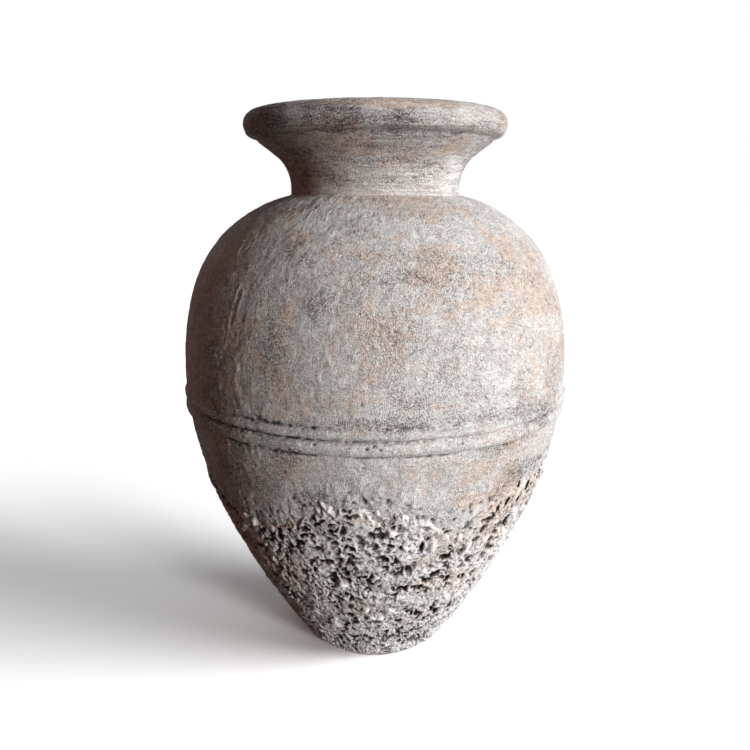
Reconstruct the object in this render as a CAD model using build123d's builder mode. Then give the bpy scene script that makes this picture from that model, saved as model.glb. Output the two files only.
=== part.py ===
from build123d import *

import os
from collections import namedtuple
from math import acos, asin, atan2, cos, degrees, hypot, pi, radians, remainder, sin, sqrt, tan

# A hand-built storage jar, raised in rings the way a coil potter raises one. Each ring stands on
# the one below in a stepped lap joint bedded in slip. Two cordons are pressed on over the joint at
# the belly, and a gritty crust is laid over the lower wall. The jar stands on z = 0 about Z.

# Wall of the jar
base_radius = 66.0
belly_radius = 188.0
belly_height = 296.0
lower_belly_arc = 312.0
taper_height = 181.0
upper_belly_arc = 268.0
shoulder_start = 371.0
shoulder_height = 460.0
wall = 12.0
base_edge_round = 3.0

# Neck collar and rim roll
neck_radius = 81.0
neck_wall = 9.5
neck_straight = 8.0
flare_arc = 36.0
flare_angle = 53.0
neck_rise = 55.0
roll_radius = 12.0
roll_press = 3.0
roll_overhang = 0.8

# Joints between the rings: height of each outer shelf, rise of the inner tongue, bed of slip
base_seam = 14.0
lower_seam = 144.0
belly_seam = 270.0
upper_seam = 378.0
lap = 6.0
slip = 0.8

# Cordons, one each side of the belly joint and clear of its slip: radius of the roll, and how deep its
# middle lies in the wall
cordon_clear = 0.6
lower_cordon_radius = 7.0
lower_cordon_sink = 4.2
upper_cordon_radius = 4.5
upper_cordon_sink = 2.0

# Crust on the lower wall, with round bites out of its upper edge
crust = 3.0
crust_foot = 4.0
crust_top = 210.0
crust_edge_round = 1.8
bite_count = 13
bite_radius = 19.0
bite_swing = 7.0
bite_drift = 9.0
bite_sway = 8.0
golden_turn = 137.5

# Main pits of the crust, along one spiral: the ball that shapes them, their depth and how it varies, the
# mean distance between neighbours and the clear crust left up to an edge
pit_ball = 9.0
pit_depth = 2.0
pit_swing = 0.4
pit_spacing = 26.0
pit_clear = 2.5

# Places that follow from the sizes above
throat_radius = neck_radius - neck_wall
floor_height = base_seam + lap
neck_top = shoulder_height + neck_straight
rim_seat = shoulder_height + neck_rise
reach = belly_radius + wall + crust + lower_cordon_radius + upper_cordon_radius

# One arc of the wall's outside, with the angles of its two ends in radians
Arc = namedtuple("Arc", "centre_r centre_z radius start end")

# One joint: its name, the height of its outer shelf, the radius of its riser and its line outside the jar
Seam = namedtuple("Seam", "name height riser outside")

# One round bite out of the crust's upper edge: its angle in radians, height and radius
Bite = namedtuple("Bite", "turn height radius")


def arc_onward(start, turn, end):
    """Centre, radius and end angle of the arc from start, with its normal at turn there, to end."""
    across = end[0] - start[0]
    up = end[1] - start[1]
    radius = -hypot(across, up) ** 2 / (2 * (across * cos(turn) + up * sin(turn)))
    centre = (start[0] - radius * cos(turn), start[1] - radius * sin(turn))
    return centre, radius, atan2(end[1] - centre[1], end[0] - centre[0])


def wall_arcs():
    """The four tangent arcs of the outside wall, from the base up to the foot of the neck."""
    taper_turn = -asin((belly_height - taper_height) / lower_belly_arc)
    taper_start = (belly_radius - lower_belly_arc * (1 - cos(taper_turn)), taper_height)
    base_point = (base_radius, 0)
    taper_centre, taper_arc, base_turn = arc_onward(taper_start, taper_turn, base_point)
    shoulder_turn = asin((shoulder_start - belly_height) / upper_belly_arc)
    arc_start = (belly_radius - upper_belly_arc * (1 - cos(shoulder_turn)), shoulder_start)
    neck_point = (neck_radius, shoulder_height)
    shoulder_centre, shoulder_arc, neck_turn = arc_onward(arc_start, shoulder_turn, neck_point)
    return [
        Arc(*taper_centre, taper_arc, base_turn, taper_turn),
        Arc(belly_radius - lower_belly_arc, belly_height, lower_belly_arc, taper_turn, 0),
        Arc(belly_radius - upper_belly_arc, belly_height, upper_belly_arc, 0, shoulder_turn),
        Arc(*shoulder_centre, shoulder_arc, shoulder_turn, neck_turn),
    ]


ARCS = wall_arcs()


def arc_point(arc, turn, out):
    """The point of an arc at one angle, moved outward."""
    radius = arc.radius + out
    return (arc.centre_r + radius * cos(turn), arc.centre_z + radius * sin(turn))


def arc_at(height, out):
    """The arc that the outside surface, moved outward, follows at a height, and the angle on it."""
    arc = next((a for a in ARCS if height <= arc_point(a, a.end, out)[1]), ARCS[-1])
    return arc, asin((height - arc.centre_z) / (arc.radius + out))


def radius_at(height, out):
    """The wall's radius at a height, for the outside surface moved outward."""
    return arc_point(*arc_at(height, out), out)[0]


def draw_wall(out, last_radius):
    """Draws the wall's arcs moved outward, up to last_radius under the neck, and returns the two ends."""
    shoulder = ARCS[-1]
    last_turn = acos((last_radius - shoulder.centre_r) / (shoulder.radius + out))
    arcs = ARCS[:-1] + [shoulder._replace(end=last_turn)]
    for arc in arcs:
        CenterArc(
            (arc.centre_r, arc.centre_z), arc.radius + out, degrees(arc.start), degrees(arc.end - arc.start)
        )
    return arc_point(arcs[0], arcs[0].start, out), arc_point(arcs[-1], last_turn, out)


# Outline of the closed jar up to the neck, as a half section
with BuildSketch() as outline:
    with BuildLine():
        foot, top = draw_wall(0, neck_radius)
        Polyline(top, (0, shoulder_height), (0, 0), foot)
    make_face()

# Space inside the jar, from the floor to the foot of the neck
with BuildSketch() as hollow:
    with BuildLine():
        foot, top = draw_wall(-wall, throat_radius)
        Polyline(top, (throat_radius, shoulder_height), (0, shoulder_height), (0, foot[1]), foot)
    make_face()
    with Locations((0, floor_height)):
        Rectangle(reach, shoulder_height, align=Align.MIN, mode=Mode.INTERSECT)

# Neck collar, which stands straight and then flares to the seat of the rim roll
flare = radians(flare_angle)
flare_centre = (neck_radius + flare_arc, neck_top)
inner_arc = flare_arc + neck_wall
flare_outside = (flare_centre[0] - flare_arc * cos(flare), neck_top + flare_arc * sin(flare))
flare_inside = (flare_centre[0] - inner_arc * cos(flare), neck_top + inner_arc * sin(flare))
seat_outside = flare_outside[0] + (rim_seat - flare_outside[1]) * tan(flare)
seat_inside = flare_inside[0] + (rim_seat - flare_inside[1]) * tan(flare)
with BuildSketch() as collar:
    with BuildLine():
        Polyline(
            (throat_radius, neck_top),
            (throat_radius, shoulder_height),
            (neck_radius, shoulder_height),
            (neck_radius, neck_top),
        )
        CenterArc(flare_centre, flare_arc, 180, -flare_angle)
        Polyline(flare_outside, (seat_outside, rim_seat), (seat_inside, rim_seat), flare_inside)
        CenterArc(flare_centre, inner_arc, 180 - flare_angle, flare_angle)
    make_face()

# Rim roll, pressed flat on the collar's seat
roll_rise = roll_radius - roll_press
half_seat = sqrt(roll_radius**2 - roll_rise**2)
roll_centre = (seat_outside + roll_overhang - half_seat, rim_seat + roll_rise)
rim_top = roll_centre[1] + roll_radius
with BuildSketch() as roll:
    with Locations(roll_centre):
        Circle(roll_radius)
    with Locations((0, rim_seat)):
        Rectangle(reach, rim_top, align=Align.MIN, mode=Mode.INTERSECT)

# Half section of the whole jar, which the joints then divide
with BuildSketch() as section:
    add(outline.sketch)
    add(hollow.sketch, mode=Mode.SUBTRACT)
    add(collar.sketch)
    add(roll.sketch)


def wall_seam(name, height):
    """A joint in the wall, with its riser in the middle of the wall."""
    return Seam(name, height, (radius_at(height, 0) + radius_at(height, -wall)) / 2, [(reach, height)])


def step_line(seam, lift):
    """A joint's stepped line from outside the jar to the axis, lifted by the bed of slip."""
    shelf = seam.height + lift
    tongue = shelf + lap
    riser = seam.riser + lift
    outside = [(radius, height + lift) for radius, height in seam.outside]
    return outside + [(riser, shelf), (riser, tongue), (0, tongue)]


def ring_section(below, above):
    """The part of the jar's half section that lies between two lines."""
    with BuildSketch(Plane.XZ) as ring:
        add(section.sketch_local)
        with BuildLine():
            Polyline(*below, *reversed(above), close=True)
        make_face(mode=Mode.INTERSECT)
    return ring.sketch


# Outside the neck its joint's line climbs between shoulder and flare, so a shoulder that swells above the
# neck's foot stays below the line
neck_outside = [
    (reach, shoulder_height + neck_rise / 2),
    (neck_radius + neck_straight, neck_top),
    (neck_radius, shoulder_height),
]
SEAMS = [
    wall_seam("base", base_seam),
    wall_seam("lower", lower_seam),
    wall_seam("belly", belly_seam),
    wall_seam("upper", upper_seam),
    Seam("neck", shoulder_height, (throat_radius + neck_radius) / 2, neck_outside),
    Seam("rim", rim_seat, roll_centre[0], [(reach, rim_seat)]),
]
floor_line = [(reach, 0), (0, 0)]
top_line = [(reach, rim_top), (0, rim_top)]
ring_floors = [step_line(seam, slip) for seam in SEAMS]
ring_tops = [step_line(seam, 0) for seam in SEAMS] + [top_line]
os.makedirs("parts", exist_ok=True)

# Base slab, with a raised middle that the first ring of wall is lapped round
with BuildPart() as base_slab:
    revolve(ring_section(floor_line, ring_tops[0]), axis=Axis.Z)
    foot_edge = base_slab.edges().filter_by(GeomType.CIRCLE).group_by(Axis.Z)[0]
    fillet(foot_edge, base_edge_round)
base_slab.part.label = "base_slab"
export_step(base_slab.part, "parts/base_slab.step")

# Rings of the wall, neck and rim, from the lowest up
RINGS = [
    "lower_wall_course",
    "belly_wall_course",
    "upper_wall_course",
    "shoulder_wall_course",
    "neck_collar",
    "rim_roll",
]
for name, below, above in zip(RINGS, ring_floors, ring_tops[1:]):
    with BuildPart() as ring:
        revolve(ring_section(below, above), axis=Axis.Z)
    ring.part.label = name
    export_step(ring.part, f"parts/{name}.step")

# Beds of slip that lute each ring to the one below
for seam in SEAMS:
    with BuildPart() as joint_slip:
        revolve(ring_section(step_line(seam, 0), step_line(seam, slip)), axis=Axis.Z)
    joint_slip.part.label = f"{seam.name}_joint_slip"
    export_step(joint_slip.part, f"parts/{seam.name}_joint_slip.step")

# Cordons, each a roll of clay pressed square onto the wall on one side of the belly joint's slip
CORDONS = [
    ("lower_cordon", belly_seam - cordon_clear, -1, lower_cordon_radius, lower_cordon_sink),
    ("upper_cordon", belly_seam + slip + cordon_clear, 1, upper_cordon_radius, upper_cordon_sink),
]
for name, edge, side, radius, sink in CORDONS:
    half_height = sqrt(radius**2 - sink**2)
    arc, turn = arc_at(edge + side * half_height, 0)
    with BuildPart() as cordon:
        with BuildSketch(Plane.XZ):
            with Locations(arc_point(arc, turn, -sink)):
                Circle(radius)
            add(outline.sketch_local, mode=Mode.SUBTRACT)
        revolve(axis=Axis.Z)
    cordon.part.label = name
    export_step(cordon.part, f"parts/{name}.step")


def crust_bites():
    """Bites out of the crust's upper edge, each a little off an even pattern."""
    wander = [radians(golden_turn * i) for i in range(bite_count)]
    return [
        Bite(
            radians(360 * i / bite_count + bite_sway * sin(wander[i])),
            crust_top + bite_drift * sin(wander[i]),
            bite_radius + bite_swing * cos(wander[i]),
        )
        for i in range(bite_count)
    ]


BITES = crust_bites()


def pit_depth_of(i):
    """Depth of one pit of the spiral."""
    return pit_depth + pit_swing * sin(i)


def pit_spots():
    """Angles, heights and radii of a spiral of pits that is spread evenly over the crust's face."""
    spots = []
    height = crust_foot + widest_mouth + pit_clear
    while height < crust_top - crust_edge_round - widest_mouth - pit_clear:
        arc, lean = arc_at(height, crust)
        radius = arc_point(arc, lean, crust)[0]
        spots.append((radians(golden_turn * len(spots)), height, radius))
        height += pit_spacing**2 * cos(lean) / (2 * pi * radius)
    return spots


def clear_of_bites(turn, height, radius):
    """Whether a pit at this place lies clear of every bite."""
    gaps = [hypot(radius * remainder(turn - b.turn, 2 * pi), height - b.height) - b.radius for b in BITES]
    return min(gaps) > widest_mouth + pit_clear


def ball_centre(turn, height, depth):
    """The middle of the ball that shapes a pit of this depth in the crust's face."""
    arc, lean = arc_at(height, crust)
    radius, up = arc_point(arc, lean, crust + pit_ball - depth)
    return (radius * cos(turn), radius * sin(turn), up)


deepest_pit = pit_depth + pit_swing
widest_mouth = sqrt(pit_ball**2 - (pit_ball - deepest_pit) ** 2)
pit_balls = [
    ball_centre(turn, height, pit_depth_of(i))
    for i, (turn, height, radius) in enumerate(pit_spots())
    if clear_of_bites(turn, height, radius)
]

# Crust over the lower wall, whose upper edge runs unevenly round the jar
with BuildPart() as crust_coat:
    with BuildSketch(Plane.XZ):
        with BuildLine():
            foot, top = draw_wall(crust, neck_radius)
            Polyline(top, (0, shoulder_height), (0, foot[1]), foot)
        make_face()
        add(outline.sketch_local, mode=Mode.SUBTRACT)
        with Locations((0, crust_foot)):
            Rectangle(reach, crust_top - crust_foot, align=Align.MIN, mode=Mode.INTERSECT)
    revolve(axis=Axis.Z)
    upper_edges = crust_coat.edges().filter_by(GeomType.CIRCLE).group_by(Axis.Z)[-1]
    fillet(upper_edges.sort_by(SortBy.RADIUS)[-1], crust_edge_round)
    for bite in BITES:
        outward = Vector(cos(bite.turn), sin(bite.turn), 0)
        middle = outward * reach + Vector(0, 0, bite.height)
        with Locations(Plane(middle, z_dir=outward)):
            Cylinder(bite.radius, reach, mode=Mode.SUBTRACT)
    with Locations(pit_balls):
        Sphere(pit_ball, mode=Mode.SUBTRACT)
crust_coat.part.label = "crust_coat"
export_step(crust_coat.part, "parts/crust_coat.step")
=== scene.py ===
import math

import bpy
import numpy as np
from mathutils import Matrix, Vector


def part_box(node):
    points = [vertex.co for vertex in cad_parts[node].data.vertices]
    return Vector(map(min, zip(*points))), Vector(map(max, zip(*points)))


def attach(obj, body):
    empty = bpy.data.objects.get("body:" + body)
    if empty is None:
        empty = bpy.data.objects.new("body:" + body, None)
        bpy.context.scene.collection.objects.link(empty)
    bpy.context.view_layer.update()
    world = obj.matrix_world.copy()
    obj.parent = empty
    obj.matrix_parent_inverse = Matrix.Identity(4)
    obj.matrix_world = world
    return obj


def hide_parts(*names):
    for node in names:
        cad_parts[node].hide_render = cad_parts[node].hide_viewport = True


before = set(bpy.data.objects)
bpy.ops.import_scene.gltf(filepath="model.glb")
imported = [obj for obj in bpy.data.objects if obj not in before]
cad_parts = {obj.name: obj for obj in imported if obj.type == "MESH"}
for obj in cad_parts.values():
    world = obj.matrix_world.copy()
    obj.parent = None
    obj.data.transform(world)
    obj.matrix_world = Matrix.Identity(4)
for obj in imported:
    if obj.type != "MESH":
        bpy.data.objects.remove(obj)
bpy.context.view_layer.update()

mm = 0.001
print("frame loaded:", len(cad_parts), "CAD nodes")

# Small tools: colour, noise, and soft steps


def linearColour(hexCode):
    # sRGB hex to the linear RGBA that shader sockets take
    channels = [int(hexCode[i:i + 2], 16) / 255 for i in (1, 3, 5)]
    return [c / 12.92 if c <= 0.04045 else ((c + 0.055) / 1.055) ** 2.4 for c in channels] + [1.0]


def softStep(low, high, value):
    t = np.clip((value - low) / (high - low), 0, 1)
    return t * t * (3 - 2 * t)


def cellBits(cells, seed):
    # even random bits for whole-number cells
    bits = cells[0].astype(np.uint32) * np.uint32(0x8da6b343)
    bits ^= cells[1].astype(np.uint32) * np.uint32(0xd8163841)
    bits ^= cells[2].astype(np.uint32) * np.uint32(0xcb1ab31f)
    bits += np.uint32(seed * 2654435761 % 2**32)
    for shift, factor in ((15, 0x2c1b3c6d), (12, 0x297a2d39)):
        bits ^= bits >> np.uint32(shift)
        bits *= np.uint32(factor)
    return bits ^ (bits >> np.uint32(15))


def threeParts(bits):
    # three numbers from 0 to 1 out of one set of random bits
    return [((bits >> np.uint32(10 * k)) & np.uint32(1023)).astype(np.float32) / 1023 for k in range(3)]


def clayNoise(points, size, seed):
    # smooth lumps of about the given size, from -1 to 1
    places = points.T / size
    floors = np.floor(places)
    rest = (places - floors).astype(np.float32)
    cells = floors.astype(np.int32)
    fade = rest**3 * (rest * (rest * 6 - 15) + 10)
    total = np.zeros(points.shape[0], np.float32)
    for corner in np.ndindex(2, 2, 2):
        slopes = threeParts(cellBits([cells[k] + corner[k] for k in range(3)], seed))
        height = sum((2 * slopes[k] - 1) * (rest[k] - corner[k]) for k in range(3))
        for k in range(3):
            height *= fade[k] if corner[k] else 1 - fade[k]
        total += height
    return 1.6 * total


def layeredNoise(points, size, seed, layers=3):
    return sum(clayNoise(points, size / 2**k, seed + k) / 2**k for k in range(layers))


def noiseSum(points, *layers):
    # lumps of several sizes: how high in mm, size in mm, and seed
    return sum(high * clayNoise(points, size, seed) for high, size, seed in layers)


def noiseShift(points, size, seed):
    # lumps along all three axes, to warp a pattern
    return np.stack([clayNoise(points, size, seed + k) for k in range(3)], -1)


def clayCells(points, size, seed):
    # distances to the two nearest cell middles, in cells, and a mark from 0 to 1 of the nearest
    places = (points.T / size).astype(np.float32)
    cells = np.floor(places).astype(np.int32)
    near = np.full(points.shape[0], 9.0, np.float32)
    second = near.copy()
    mark = np.zeros_like(near)
    for step in np.ndindex(3, 3, 3):
        around = [cells[k] + step[k] - 1 for k in range(3)]
        bits = cellBits(around, seed)
        spot = threeParts(bits)
        gap = sum((around[k] + spot[k] - places[k]) ** 2 for k in range(3))
        closer = gap < near
        second = np.where(closer, near, np.minimum(second, gap))
        mark = np.where(closer, (bits % np.uint32(997)).astype(np.float32) / 997, mark)
        near = np.minimum(near, gap)
    return np.sqrt(near), np.sqrt(second), mark


def cellSpots(points, size, seed, widths, marks):
    # round spots in some cells: widths where they end and are full, and marks from none to full
    near, _, mark = clayCells(points, size, seed)
    return softStep(*widths, near) * softStep(*marks, mark)


# Section of the jar, in mm as in the CAD. Heights and the widest radius come from the frame.
jar = dict(
    baseRadius=66, baseEdge=3, bellyHeight=296, lowerBellyArc=312, taperHeight=181,
    upperBellyArc=268, shoulderStart=371, wall=12,
    neckRadius=81, neckWall=9.5, neckStraight=8, flareArc=36, flareAngle=53,
    rollRadius=12, rollPress=3, rollOverhang=0.8,
    creaseSoftness=1.1,     # how far a potter's finger rounds each crease
    tableStep=0.25,
)


def lowEnd(node):
    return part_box(node)[0].z / mm


def highEnd(node):
    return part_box(node)[1].z / mm


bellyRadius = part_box("upper_wall_course")[1].x / mm
shoulderHeight = lowEnd("neck_joint_slip")
rimSeat = lowEnd("rim_joint_slip")
rimTop = highEnd("rim_roll")


def arcOnward(start, turn, end):
    # the arc that leaves start, with its normal at turn there, and reaches end
    along = np.subtract(end, start)
    normal = np.array([math.cos(turn), math.sin(turn)])
    radius = -(along @ along) / (2 * (along @ normal))
    centre = np.array(start) - radius * normal
    return centre, radius, math.atan2(end[1] - centre[1], end[0] - centre[0])


def arcPoints(centre, radius, startTurn, endTurn, count=400):
    turns = np.linspace(startTurn, endTurn, count)
    return np.column_stack([centre[0] + radius * np.cos(turns), centre[1] + radius * np.sin(turns)])


def wallArcs():
    # centre, radius and end angles of the wall's outside, from the base up to the neck
    belly, lowerArc, upperArc = jar["bellyHeight"], jar["lowerBellyArc"], jar["upperBellyArc"]
    taperTurn = -math.asin((belly - jar["taperHeight"]) / lowerArc)
    shoulderTurn = math.asin((jar["shoulderStart"] - belly) / upperArc)
    lowerCentre = np.array([bellyRadius - lowerArc, belly])
    upperCentre = np.array([bellyRadius - upperArc, belly])
    taperStart = arcPoints(lowerCentre, lowerArc, taperTurn, taperTurn, 1)[0]
    shoulderStart = arcPoints(upperCentre, upperArc, shoulderTurn, shoulderTurn, 1)[0]
    taper = arcOnward(taperStart, taperTurn, (jar["baseRadius"], 0))
    shoulder = arcOnward(shoulderStart, shoulderTurn, (jar["neckRadius"], shoulderHeight))
    return [
        (taper[0], taper[1], taper[2], taperTurn),
        (lowerCentre, lowerArc, taperTurn, 0.0),
        (upperCentre, upperArc, 0.0, shoulderTurn),
        (shoulder[0], shoulder[1], shoulderTurn, shoulder[2]),
    ]


def skinTable(points, softness):
    # even steps along a line, with its creases rounded, and the normal on the line's right
    gaps = np.hypot(*np.diff(points, axis=0).T)
    length = np.concatenate([[0], np.cumsum(gaps)])
    even = np.arange(0, length[-1], jar["tableStep"])
    line = np.column_stack([np.interp(even, length, points[:, k]) for k in (0, 1)])
    reach = int(4 * softness / jar["tableStep"])
    bell = np.exp(-0.5 * (np.arange(-reach, reach + 1) * jar["tableStep"] / softness) ** 2)
    padded = np.pad(line, ((reach, reach), (0, 0)), mode="reflect", reflect_type="odd")
    line = np.column_stack([np.convolve(padded[:, k], bell / bell.sum(), "valid") for k in (0, 1)])
    slope = np.gradient(line, axis=0)
    slope /= np.hypot(*slope.T)[:, None]
    return dict(along=even, r=line[:, 0], z=line[:, 1], normalR=slope[:, 1], normalZ=-slope[:, 0])


def jarSkins():
    arcs = wallArcs()
    neckRadius, flareArc, rollRadius, wall = (
        jar[key] for key in ("neckRadius", "flareArc", "rollRadius", "wall"))
    flare = math.radians(jar["flareAngle"])
    neckTop = shoulderHeight + jar["neckStraight"]
    flareCentre = np.array([neckRadius + flareArc, neckTop])
    outFlare = arcPoints(flareCentre, flareArc, math.pi, math.pi - flare)
    inFlare = arcPoints(flareCentre, flareArc + jar["neckWall"], math.pi - flare, math.pi)
    seatOut = outFlare[-1, 0] + (rimSeat - outFlare[-1, 1]) * math.tan(flare)
    seatIn = inFlare[0, 0] + (rimSeat - inFlare[0, 1]) * math.tan(flare)
    rollRise = rollRadius - jar["rollPress"]
    halfSeat = math.sqrt(rollRadius**2 - rollRise**2)
    rollCentre = np.array([seatOut + jar["rollOverhang"] - halfSeat, rimSeat + rollRise])
    seatTurn = math.asin(rollRise / rollRadius)
    outRoll = arcPoints(rollCentre, rollRadius, -seatTurn, math.pi / 2)
    inRoll = arcPoints(rollCentre, rollRadius, math.pi / 2, math.pi + seatTurn)
    outside = [arcPoints(*arc) for arc in arcs]
    outside += [np.array([[neckRadius, neckTop]]), outFlare, np.array([[seatOut, rimSeat]]), outRoll]
    centre, radius, start, _ = arcs[-1]
    throatTurn = math.acos((neckRadius - jar["neckWall"] - centre[0]) / (radius - wall))
    inArcs = arcs[:-1] + [(centre, radius, start, throatTurn)]
    inside = [inRoll, np.array([[seatIn, rimSeat]]), inFlare]
    inside += [arcPoints(c, r - wall, e, s) for c, r, s, e in reversed(inArcs)]
    return [skinTable(np.concatenate(side), jar["creaseSoftness"]) for side in (outside, inside)]


outSkin, inSkin = jarSkins()
print(f"section drawn: rim top {outSkin['z'][-1]:.2f} mm, CAD {rimTop:.2f} mm")


def skinRows(skin, zFrom, zTo, spacing):
    # rows of a skin between two heights, at about the given spacing along the clay
    order = slice(None) if skin["z"][0] < skin["z"][-1] else slice(None, None, -1)
    first, last = np.interp([zFrom, zTo], skin["z"][order], skin["along"][order])
    along = np.linspace(first, last, max(2, int(abs(last - first) / spacing) + 2))
    return np.column_stack([np.interp(along, skin["along"], skin[k])
                            for k in ("r", "z", "normalR", "normalZ")])


def radiusAt(height):
    return np.interp(height, outSkin["z"], outSkin["r"])


# What the hand and the years did to the clay, and the shade painted into its crevices: relief in mm, and
# where colour shows, by angle from the front
cordonPlan = dict(
    lower=dict(radius=7, sink=4.2, seed=91), upper=dict(radius=4.5, sink=2, seed=101),
    wander=0.9, swell=0.5,      # how far a roll strays up and down, and in and out
    # holes in the rolls: angle, height and half width in mm
    holes=[(-2, 265.5, 1.7), (-0.4, 267.5, 1.4), (1.2, 264.6, 1.3), (-15, 267, 1.2), (22, 266, 1),
           (88, 265, 1.5), (171, 266, 1.8), (-97, 266, 1.5)],
    holeDepth=1.6, backSunk=2.2, rowStep=0.9,
)
# crevices along the rolls, in mm, and how open they are: angle from the front, half width in degrees, share
# where open, each crevice is painted dark: shade in the crevice, with some dirt
crevices = dict(
    under=dict(at=lowEnd("lower_cordon"), offset=-1.2, width=1.3, depth=2, marks=[
        (-30, 28, 0.8), (6, 24, 0.6), (36, 16, 0.5), (118, 22, 0.9), (196, 30, 0.7), (-98, 18, 0.8)]),
    between=dict(at=lowEnd("belly_joint_slip"), offset=0.4, width=1.6, depth=2.8, marks=[
        (-34, 30, 1.35), (6, 34, 0.4), (58, 26, 0.55), (140, 26, 0.9), (205, 18, 0.6), (-110, 24, 0.8)]),
    above=dict(at=highEnd("upper_cordon"), offset=1.6, width=1.5, depth=1.2, marks=[
        (-24, 22, 0.7), (13, 12, 0.5), (40, 16, 0.25), (100, 16, 0.7), (170, 14, 0.6), (-80, 20, 0.6)]),
)


def turnsFrom(angle, middle):
    # signed degrees from a middle angle, taking the short way round
    return (angle - middle + 180) % 360 - 180


def spreadFrom(angle, height, middle, atHeight, halfWidth, halfHeight):
    # how far out from the middle of a spot, where 1 is its edge
    across = np.radians(turnsFrom(angle, middle)) * radiusAt(atHeight) / halfWidth
    return np.hypot(across, (height - atHeight) / halfHeight)


def marksAround(angle, marks):
    total = np.zeros_like(angle)
    for middle, halfWidth, strength in marks:
        total = np.maximum(total, strength * softStep(1, 0.35, np.abs(turnsFrom(angle, middle)) / halfWidth))
    return total


# the rough coat on the lower wall, in mm
crustPlan = dict(
    # upper border: angle from the front in degrees, and height
    border=[(-178, 204), (-150, 216), (-118, 198), (-92, 210), (-70, 196), (-51, 192), (-37, 182), (-28, 184),
            (-20, 200), (-12, 211), (-4, 210), (2, 205), (9, 198), (15, 192), (23, 186), (30, 197), (39, 210),
            (48, 217), (58, 214), (74, 202), (96, 212), (122, 192), (146, 208)],
    foot=4, feather=(7, 22), skin=2.3,    # lowest edge, how softly the upper edge ends, and thickness
    bury=2.8, backing=4.4,                      # how deep it sinks at its edge, and the wall behind it
    # the pits along a spiral that the CAD crust has too, with the turn from each to the next in degrees
    mainPits=dict(first=12.7, last=204, spacing=26, turn=137.5, start=90, depth=2, swing=0.4),
    # sponge of pits: cell size, seed, depth, how wide in cells, and the share that stays shallow
    sponge=dict(large=(9.6, 131, 3.6, 0.56, 0.45), middle=(5.6, 136, 3, 0.62, 0.35),
                small=(3.1, 141, 1.8, 0.60, 0.40)),
    finerBelow=(165, 25, 0.22),     # from, to, and how much finer the sponge gets towards the foot
    warps=[(3.5, 14, 111), (1.3, 4.5, 121)],      # how far it is warped, size and seed
    # where the crust is thin and its pits are few: angle, height, half width, half height, strength
    thin=[(46, 204, 46, 26, 0.9), (25, 180, 22, 18, 0.8), (34, 150, 22, 24, 0.7), (-48, 192, 40, 30, 0.9),
          (-6, 178, 9, 8, 0.6), (2, 112, 16, 9, 0.6), (30, 90, 30, 40, 0.5), (-30, 60, 26, 16, 0.5),
          (8, 60, 24, 12, 0.5), (-30, 150, 14, 16, 0.4), (95, 190, 50, 34, 0.9), (150, 120, 40, 30, 0.7),
          (-120, 180, 44, 34, 0.9), (-160, 80, 30, 20, 0.6)],
    noduleSize=13,
    # single knobs: angle, height, half width and half height
    knobs=[(17.6, 166, 4.2, 8.5), (-12, 122, 5, 5), (-21, 58, 7, 5), (-4, 88, 4, 4), (-41, 176, 4, 5),
           (4.5, 186, 5, 5), (31, 158, 5, 6), (70, 120, 6, 7), (150, 150, 6, 6), (-130, 110, 6, 6)],
    # deep single hollows, given the same way
    hollows=[(14.2, 167, 2.6, 8), (-7, 157, 3, 3.5), (-10.5, 141, 3.5, 3), (-44, 146, 5, 4), (-46, 108, 6, 5),
             (52.7, 203, 3.5, 6), (42.7, 196, 3, 6), (46, 211, 3, 4), (38.7, 192, 2.5, 5), (49, 192, 3, 4),
             (-18, 193, 4, 4), (-23.6, 168, 5, 4), (-1, 184, 4, 4), (2, 158, 4.5, 4),
             (-14.6, 150, 4.5, 3.5), (-28, 160, 4, 4)],
    # where it is stained tan: angle, height, half width, half height, strength
    tints=[(46, 196, 44, 34, 0.8), (38, 170, 30, 34, 0.5), (24, 166, 26, 20, 0.4), (14, 150, 18, 10, 0.5),
           (-2, 200, 26, 8, 0.5), (30, 116, 30, 20, 0.5), (-34, 120, 20, 30, 0.7), (-12, 90, 16, 10, 0.5),
           (22, 70, 16, 12, 0.4), (-30, 186, 20, 14, 0.8), (-54, 160, 40, 50, 0.8), (90, 146, 50, 50, 0.6),
           (150, 106, 60, 50, 0.5), (-110, 126, 50, 60, 0.6), (-160, 176, 50, 30, 0.6)],
    grid=(1400, 0.8), quickGrid=(480, 1.92),        # columns, and step between rows
)


def crustDepth(points, angle, height):
    # mm below the crust's ragged upper border, so above it this is negative
    marks = np.array(sorted(crustPlan["border"]), float)
    line = np.interp(angle, marks[:, 0], marks[:, 1], period=360)
    return line - height + noiseSum(points, (9, 19, 41), (7, 8, 42), (3, 3.6, 43))


# raised scars and dribbles of wash, each with a painted shadow along its left side: angle and height of both
# ends, and how proud in mm
scarPlan = [
    (-40.4, 387, -41.6, 369, 0.8), (-38.2, 381, -40.6, 356, 0.9), (-42, 374, -42.3, 342, 0.8),
    (-25.5, 451, -26.6, 441, 0.9), (-36, 414, -36.3, 400, 0.6), (-12.7, 231, -13.4, 208, 1.3),
    (-4.4, 228, 3.2, 199, 1.2), (4, 209, 7, 224, 1), (-42.9, 211, -44.6, 194, 1.4), (-21, 222, -19.5, 203, 1),
    (-7, 224, -8.2, 206, 0.8), (38, 226, 36.5, 206, 1), (100, 380, 97, 350, 0.8), (162, 236, 160, 210, 1.2),
    (-120, 232, -122, 205, 1.2), (-150, 400, -146, 376, 0.8),
]


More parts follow.
